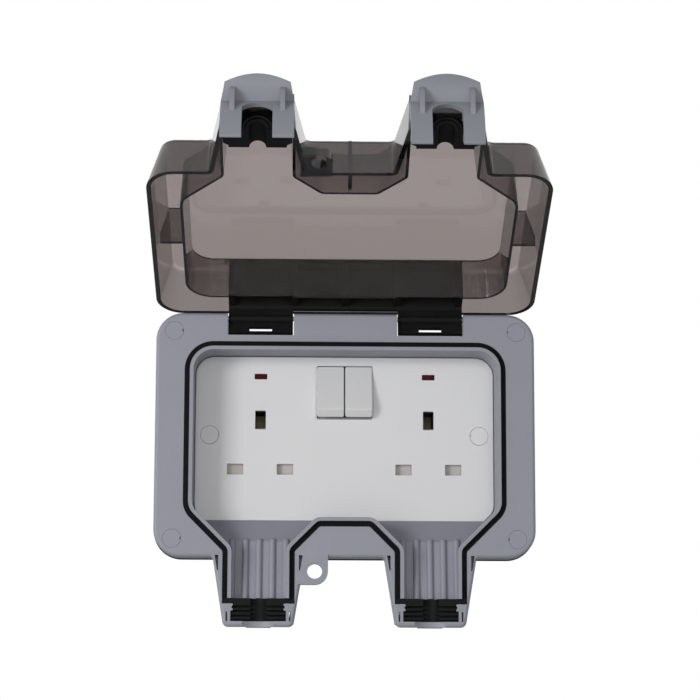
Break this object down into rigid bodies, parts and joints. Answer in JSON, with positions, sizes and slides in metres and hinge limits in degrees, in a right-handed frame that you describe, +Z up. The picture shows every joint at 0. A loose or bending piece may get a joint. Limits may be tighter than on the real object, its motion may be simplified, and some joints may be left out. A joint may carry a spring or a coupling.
{
  "type": "outdoor weatherproof double switched socket",
  "caption": "Wall-mounted weatherproof double switched socket, its hinged smoked cover open, with clip latches and cable seals.",
  "frame": {"origin": "centre of the wall fixing pattern, on the plane of the wall", "axes": "+X right seen from the front, +Y into the wall, +Z up; the front faces -Y"},
  "size_m": [0.1684, 0.1842, 0.2132],
  "materials": {
    "frame_grey": "satin moulded",
    "box_grey": "satin moulded",
    "clip_grey": "satin moulded",
    "plate_white": "glossy moulded",
    "rocker_white": "glossy moulded",
    "smoked_clear": "clear smoked brown-grey, polished",
    "seal_black": "matte",
    "gasket_black": "matte",
    "lens_red": "glossy translucent",
    "body_dark": "matte moulded",
    "shutter_light": "matte moulded",
    "contact_brass": "pressed sheet",
    "screw_steel": "zinc plated"
  },
  "bodies": {
    "housing": {"back_box": "box_grey", "box_gasket": "gasket_black", "front_frame": "frame_grey", "cover_gasket": "gasket_black", "frame_screws": "screw_steel", "frame_screw_caps": "frame_grey", "plate_screws": "screw_steel", "plate_screw_caps": "plate_white", "socket_plate": "plate_white", "socket_body": "body_dark", "earth_strap": "contact_brass", "terminal_screws": "screw_steel", "line_contact_left": "contact_brass", "line_contact_right": "contact_brass", "neutral_contact_left": "contact_brass", "neutral_contact_right": "contact_brass", "neon_lens_left": "lens_red", "neon_lens_right": "lens_red", "lower_seal_left": "seal_black", "lower_seal_right": "seal_black", "hinge_pin_left": "screw_steel", "hinge_pin_right": "screw_steel", "shutter_spring_left": "screw_steel", "shutter_spring_right": "screw_steel"},
    "lid": {"cover": "smoked_clear", "upper_seal_left": "seal_black", "upper_seal_right": "seal_black"},
    "clip_left": {"latch_left": "clip_grey", "latch_pins_left": "screw_steel"},
    "clip_right": {"latch_right": "clip_grey", "latch_pins_right": "screw_steel"},
    "switch_left": {"rocker_left": "rocker_white"},
    "switch_right": {"rocker_right": "rocker_white"},
    "shutter_gate_left": {"shutter_left": "shutter_light"},
    "shutter_gate_right": {"shutter_right": "shutter_light"}
  },
  "joints": [
    {"name": "lid_hinge", "type": "hinge", "parent": "housing", "child": "lid", "pos_m": [0, -0.0485, 0.052], "axis": [1, 0, 0], "range_deg": [0, 112]},
    {"name": "clip_left_hinge", "type": "hinge", "parent": "lid", "child": "clip_left", "pos_m": [-0.0376, -0.17262, 0.11185], "axis": [1, 0, 0], "range_deg": [-11.5, 14.5]},
    {"name": "clip_right_hinge", "type": "hinge", "parent": "lid", "child": "clip_right", "pos_m": [0.0376, -0.17262, 0.11185], "axis": [1, 0, 0], "range_deg": [-20.5, 5.5]},
    {"name": "switch_left_hinge", "type": "hinge", "parent": "housing", "child": "switch_left", "pos_m": [-0.0063, -0.03, 0.0212], "axis": [1, 0, 0], "range_deg": [0, 8]},
    {"name": "switch_right_hinge", "type": "hinge", "parent": "housing", "child": "switch_right", "pos_m": [0.0063, -0.03, 0.0212], "axis": [1, 0, 0], "range_deg": [0, 8]},
    {"name": "shutter_left_slide", "type": "slide", "parent": "housing", "child": "shutter_gate_left", "axis": [0, 0, -1], "range_m": [0, 0.0056], "stiffness_N_per_m": 60, "springref_m": -0.003, "deforming": ["shutter_spring_left"]},
    {"name": "shutter_right_slide", "type": "slide", "parent": "housing", "child": "shutter_gate_right", "axis": [0, 0, -1], "range_m": [0, 0.0056], "stiffness_N_per_m": 60, "springref_m": -0.003, "deforming": ["shutter_spring_right"]}
  ]
}
